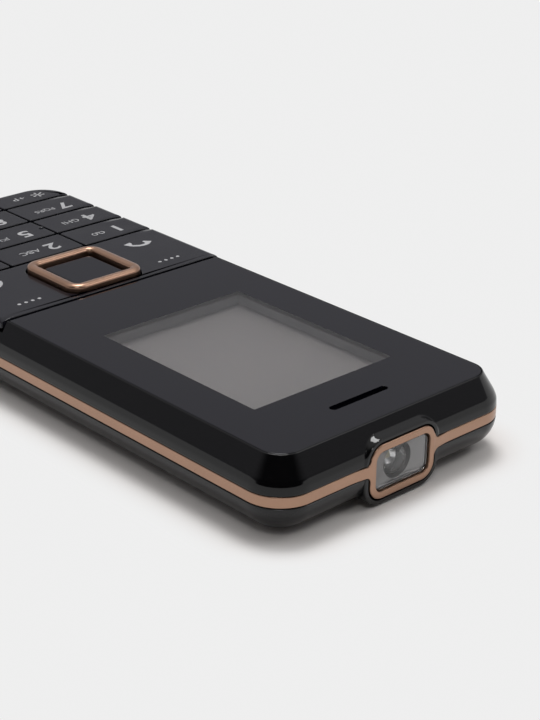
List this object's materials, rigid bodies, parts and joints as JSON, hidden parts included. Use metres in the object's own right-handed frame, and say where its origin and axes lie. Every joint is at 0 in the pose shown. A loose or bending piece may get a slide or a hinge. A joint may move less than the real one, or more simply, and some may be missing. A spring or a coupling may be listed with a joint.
{
  "type": "keypad mobile phone",
  "caption": "Bar-shaped keypad mobile phone with a glossy front, rose-gold mid band, small colour screen, navigation ring, number keys and a torch framed in its top end",
  "frame": {"origin": "on the surface that the phone lies on, under the middle of its outer box", "axes": "+Z out of the screen, +Y towards the torch end, +X the right-hand side of somebody who reads the screen"},
  "size_m": [0.0502, 0.1232, 0.0146],
  "materials": {
    "gloss_black": "glossy black moulded housing",
    "lens_black": "polished acrylic window printed black behind, with the screen area left clear",
    "rose_gold": "satin rose-gold plated metal",
    "satin_black": "satin black moulded plastic",
    "key_black": "semi-gloss charcoal keycaps with printed legends",
    "clear_plastic": "clear moulded plastic",
    "silvered": "silvered moulded reflector",
    "board_green": "green solder mask on glass-fibre board",
    "steel": "pressed or plated steel",
    "silicone": "moulded silicone rubber",
    "cell_grey": "grey foil-wrapped flat cell",
    "display_grey": "liquid-crystal panel, switched off",
    "light_guide": "white light guide",
    "inner_black": "black moulded plastic inside",
    "copper_film": "copper foil"
  },
  "bodies": {
    "phone": {"front_cover": "gloss_black", "display_lens": "lens_black", "earpiece_mesh": "steel", "earpiece_speaker": "inner_black", "display_frame": "steel", "display_glass": "display_grey", "display_backlight": "light_guide", "display_gasket": "silicone", "mid_band": "rose_gold", "torch_lens": "clear_plastic", "torch_reflector": "silvered", "torch_led": "clear_plastic", "rear_chassis": "inner_black", "camera_module": "inner_black", "camera_window": "lens_black", "battery": "cell_grey", "battery_contacts": "inner_black", "main_pcb": "board_green", "baseband_shield": "steel", "radio_shield": "steel", "sim_holder_1": "steel", "sim_holder_2": "steel", "memory_card_holder": "steel", "antenna": "copper_film", "dome_sheet": "steel", "keypad_frame": "steel", "keypad_mat": "silicone", "loudspeaker": "inner_black", "microphone": "steel", "vibration_motor": "steel", "usb_socket": "steel", "audio_jack": "inner_black", "screw_tail_left": "steel", "screw_tail_right": "steel", "screw_middle_left": "steel", "screw_middle_right": "steel", "screw_top_left": "steel", "screw_top_right": "steel"},
    "rear_cover": {"rear_cover": "satin_black"},
    "vibration_weight": {"vibration_weight": "steel"},
    "function_pad": {"function_pad": "silicone"},
    "function_plate": {"function_plate": "key_black"},
    "nav_pad": {"nav_pad": "silicone"},
    "nav_ring": {"nav_ring": "rose_gold"},
    "center_key": {"center_key": "key_black"},
    "key_1": {"key_1": "key_black"},
    "key_2": {"key_2": "key_black"},
    "key_3": {"key_3": "key_black"},
    "key_4": {"key_4": "key_black"},
    "key_5": {"key_5": "key_black"},
    "key_6": {"key_6": "key_black"},
    "key_7": {"key_7": "key_black"},
    "key_8": {"key_8": "key_black"},
    "key_9": {"key_9": "key_black"},
    "key_star": {"key_star": "key_black"},
    "key_0": {"key_0": "key_black"},
    "key_hash": {"key_hash": "key_black"}
  },
  "joints": [
    {"name": "rear_cover_off", "type": "slide", "parent": "phone", "child": "rear_cover", "axis": [0, 0, -1], "range_m": [0, 0.02]},
    {"name": "vibration_spin", "type": "hinge", "parent": "phone", "child": "vibration_weight", "pos_m": [0.009, 0.0435, 0.00465], "axis": [1, 0, 0], "continuous": true},
    {"name": "function_rock_side", "type": "hinge", "parent": "phone", "child": "function_pad", "pos_m": [0, -0.01688, 0.0116], "axis": [0, 1, 0], "range_deg": [-0.75, 0.75], "stiffness_Nm_per_rad": 12},
    {"name": "function_rock_end", "type": "hinge", "parent": "function_pad", "child": "function_plate", "pos_m": [0, -0.01688, 0.0116], "axis": [1, 0, 0], "range_deg": [-1.2, 1.2], "stiffness_Nm_per_rad": 6},
    {"name": "nav_rock_end", "type": "hinge", "parent": "phone", "child": "nav_pad", "pos_m": [0, -0.01688, 0.0118], "axis": [1, 0, 0], "range_deg": [-1.5, 1.5], "stiffness_Nm_per_rad": 2},
    {"name": "nav_rock_side", "type": "hinge", "parent": "nav_pad", "child": "nav_ring", "pos_m": [0, -0.01688, 0.0118], "axis": [0, 1, 0], "range_deg": [-1.5, 1.5], "stiffness_Nm_per_rad": 2},
    {"name": "center_key_press", "type": "slide", "parent": "phone", "child": "center_key", "axis": [0, 0, -1], "range_m": [0, 0.0003], "stiffness_N_per_m": 3000},
    {"name": "key_1_press", "type": "slide", "parent": "phone", "child": "key_1", "axis": [0, 0, -1], "range_m": [0, 0.0003], "stiffness_N_per_m": 3000},
    {"name": "key_2_press", "type": "slide", "parent": "phone", "child": "key_2", "axis": [0, 0, -1], "range_m": [0, 0.0003], "stiffness_N_per_m": 3000},
    {"name": "key_3_press", "type": "slide", "parent": "phone", "child": "key_3", "axis": [0, 0, -1], "range_m": [0, 0.0003], "stiffness_N_per_m": 3000},
    {"name": "key_4_press", "type": "slide", "parent": "phone", "child": "key_4", "axis": [0, 0, -1], "range_m": [0, 0.0003], "stiffness_N_per_m": 3000},
    {"name": "key_5_press", "type": "slide", "parent": "phone", "child": "key_5", "axis": [0, 0, -1], "range_m": [0, 0.0003], "stiffness_N_per_m": 3000},
    {"name": "key_6_press", "type": "slide", "parent": "phone", "child": "key_6", "axis": [0, 0, -1], "range_m": [0, 0.0003], "stiffness_N_per_m": 3000},
    {"name": "key_7_press", "type": "slide", "parent": "phone", "child": "key_7", "axis": [0, 0, -1], "range_m": [0, 0.0003], "stiffness_N_per_m": 3000},
    {"name": "key_8_press", "type": "slide", "parent": "phone", "child": "key_8", "axis": [0, 0, -1], "range_m": [0, 0.0003], "stiffness_N_per_m": 3000},
    {"name": "key_9_press", "type": "slide", "parent": "phone", "child": "key_9", "axis": [0, 0, -1], "range_m": [0, 0.0003], "stiffness_N_per_m": 3000},
    {"name": "key_star_press", "type": "slide", "parent": "phone", "child": "key_star", "axis": [0, 0, -1], "range_m": [0, 0.0003], "stiffness_N_per_m": 3000},
    {"name": "key_0_press", "type": "slide", "parent": "phone", "child": "key_0", "axis": [0, 0, -1], "range_m": [0, 0.0003], "stiffness_N_per_m": 3000},
    {"name": "key_hash_press", "type": "slide", "parent": "phone", "child": "key_hash", "axis": [0, 0, -1], "range_m": [0, 0.0003], "stiffness_N_per_m": 3000}
  ]
}
